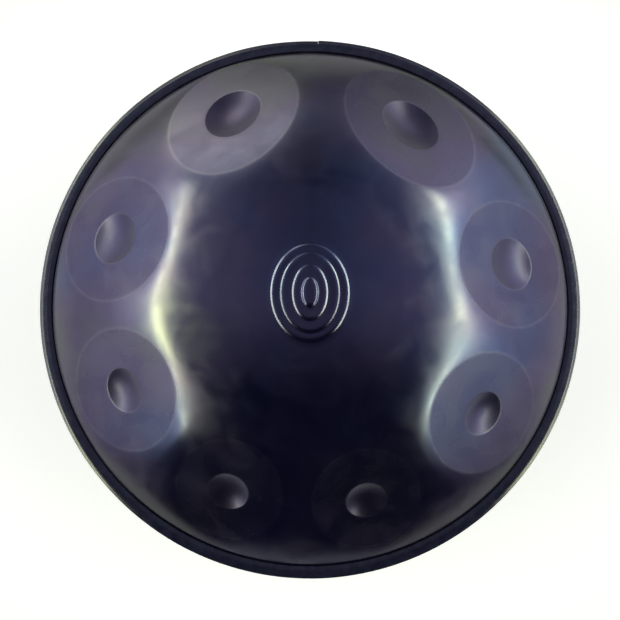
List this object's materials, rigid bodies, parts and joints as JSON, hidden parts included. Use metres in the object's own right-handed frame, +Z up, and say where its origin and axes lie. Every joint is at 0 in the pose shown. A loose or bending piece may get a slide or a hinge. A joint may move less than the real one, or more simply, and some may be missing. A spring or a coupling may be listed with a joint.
{
  "type": "handpan",
  "caption": "Handpan: two bonded steel domes with a ring of dimpled notes round a stepped oval ding, an inward-turned port below and a bumper strip round the rim.",
  "frame": {"origin": "middle of the flat ring that the lower shell stands on", "axes": "+Z up towards the playing side, +Y towards the side where the rim strip's ends meet and the two lowest notes lie, +X to the player's right"},
  "size_m": [0.537, 0.5369, 0.2382],
  "materials": {
    "nitrided_steel": "gas-nitrided deep-drawn steel sheet, heat-tinted dark blue and violet, waxed semi-gloss",
    "cured_epoxy": "cured black two-part epoxy",
    "bumper_rubber": "smooth glossy black extruded rubber edge strip"
  },
  "bodies": {
    "root": {"upper_shell": "nitrided_steel", "lower_shell": "nitrided_steel", "bond_line": "cured_epoxy", "rim_strip": "bumper_rubber"}
  },
  "joints": []
}
